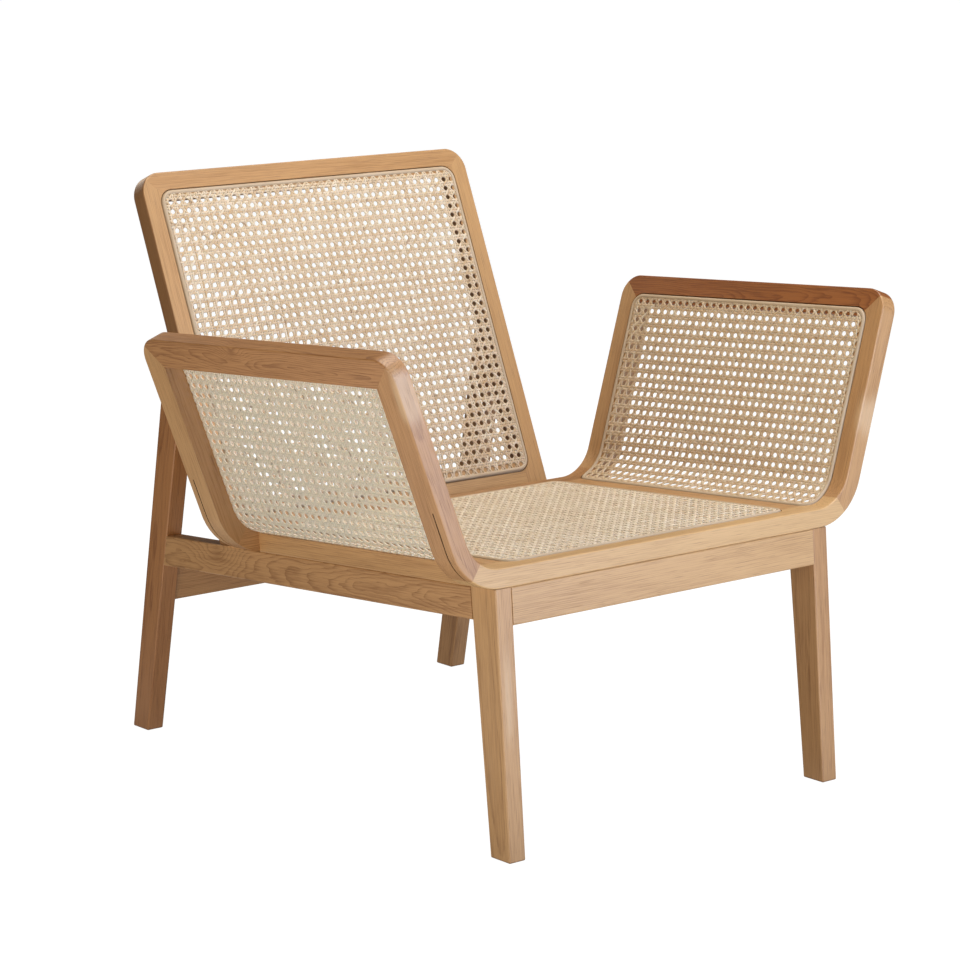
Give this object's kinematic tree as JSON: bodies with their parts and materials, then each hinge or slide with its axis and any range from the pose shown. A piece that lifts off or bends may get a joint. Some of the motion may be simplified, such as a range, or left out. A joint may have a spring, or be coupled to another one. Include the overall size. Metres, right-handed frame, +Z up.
{
  "type": "lounge chair",
  "caption": "Low wooden lounge chair: a caned seat and leaning arms form one U-shaped shell on a four-legged base, with a separate reclined caned back.",
  "frame": {"origin": "on the floor, under the middle of the overall box", "axes": "+X to the right as seen from the front, which is also how left and right in the names are meant, +Y from the front to the back, +Z up"},
  "size_m": [0.8352, 0.7614, 0.7342],
  "materials": {
    "oak": "satin oiled oak",
    "cane": "natural woven rattan cane",
    "reed": "natural reed",
    "dowel": "plain beech",
    "steel": "zinc plated"
  },
  "bodies": {
    "root": {"front_leg_left": "oak", "front_leg_right": "oak", "rear_leg_left": "oak", "rear_leg_right": "oak", "front_apron": "oak", "rear_apron": "oak", "side_rail_left": "oak", "side_rail_right": "oak", "front_seat_rail": "oak", "rear_seat_rail": "oak", "seat_side_rail_left": "oak", "seat_side_rail_right": "oak", "front_arm_stile_left": "oak", "front_arm_stile_right": "oak", "rear_arm_stile_left": "oak", "rear_arm_stile_right": "oak", "arm_top_rail_left": "oak", "arm_top_rail_right": "oak", "back_stile_left": "oak", "back_stile_right": "oak", "back_top_rail": "oak", "back_bottom_rail": "oak", "seat_cane": "cane", "arm_left_cane": "cane", "arm_right_cane": "cane", "back_cane": "cane", "seat_spline": "reed", "arm_left_spline": "reed", "arm_right_spline": "reed", "back_spline": "reed", "side_rail_dowels": "dowel", "apron_dowels": "dowel", "seat_rail_dowels": "dowel", "arm_corner_tenons": "dowel", "back_corner_tenons": "dowel", "back_rail_dowels": "dowel", "hoop_corner_keys": "dowel", "shell_screws": "steel", "back_screws": "steel"}
  },
  "joints": []
}
